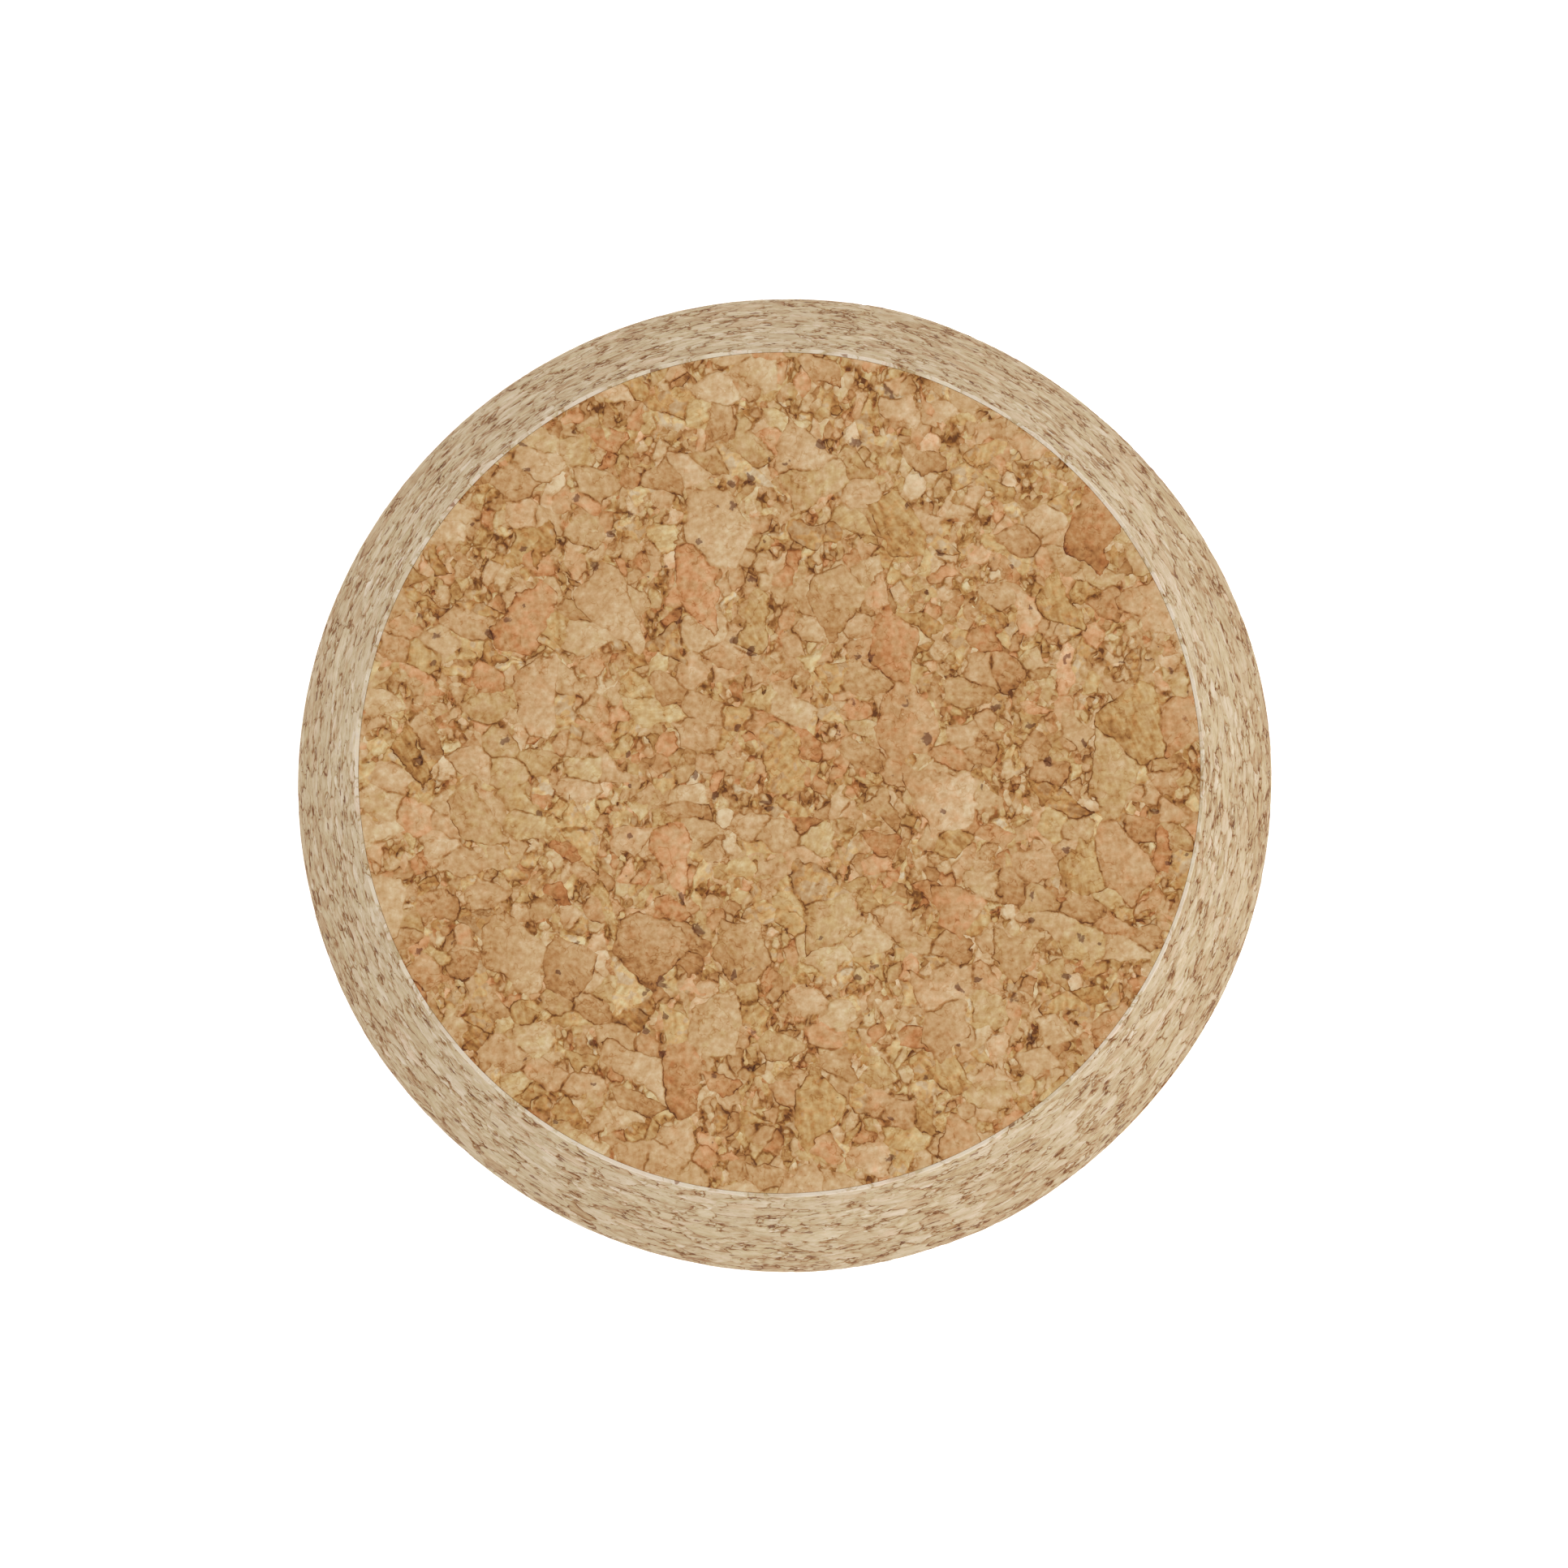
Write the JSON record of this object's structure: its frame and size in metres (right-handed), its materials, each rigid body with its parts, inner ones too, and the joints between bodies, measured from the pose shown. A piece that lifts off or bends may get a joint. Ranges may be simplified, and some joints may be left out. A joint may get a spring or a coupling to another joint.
{
  "type": "massage ball",
  "caption": "Flat-faced cork massage ball: a round cork dome to roll on the muscle, a tapered collar, and a flat coarse-cork disc that lies under the palm.",
  "frame": {"origin": "the centre of the small flat at the dome's pole, the lowest point of the part, on the axis", "axes": "+Z is the axis of symmetry, from the dome up through the centre of the palm face; X and Y are free, as the part is round"},
  "size_m": [0.08, 0.08, 0.0581],
  "materials": {
    "coarse_cork": "cut agglomerated cork, sealed, granules of 1 to 6 mm with dark joints",
    "pale_cork": "sanded agglomerated cork, pale and dusty, fine granules with dark specks",
    "foam": "closed-cell foam, dark grey, matt",
    "adhesive": "double-sided adhesive film, milky",
    "glue": "cured glue line, amber"
  },
  "bodies": {
    "root": {"dome_shell": "pale_cork", "collar": "pale_cork", "rim_glue_ring": "glue", "foam_core": "foam", "adhesive_disc": "adhesive", "palm_disc": "coarse_cork"}
  },
  "joints": []
}
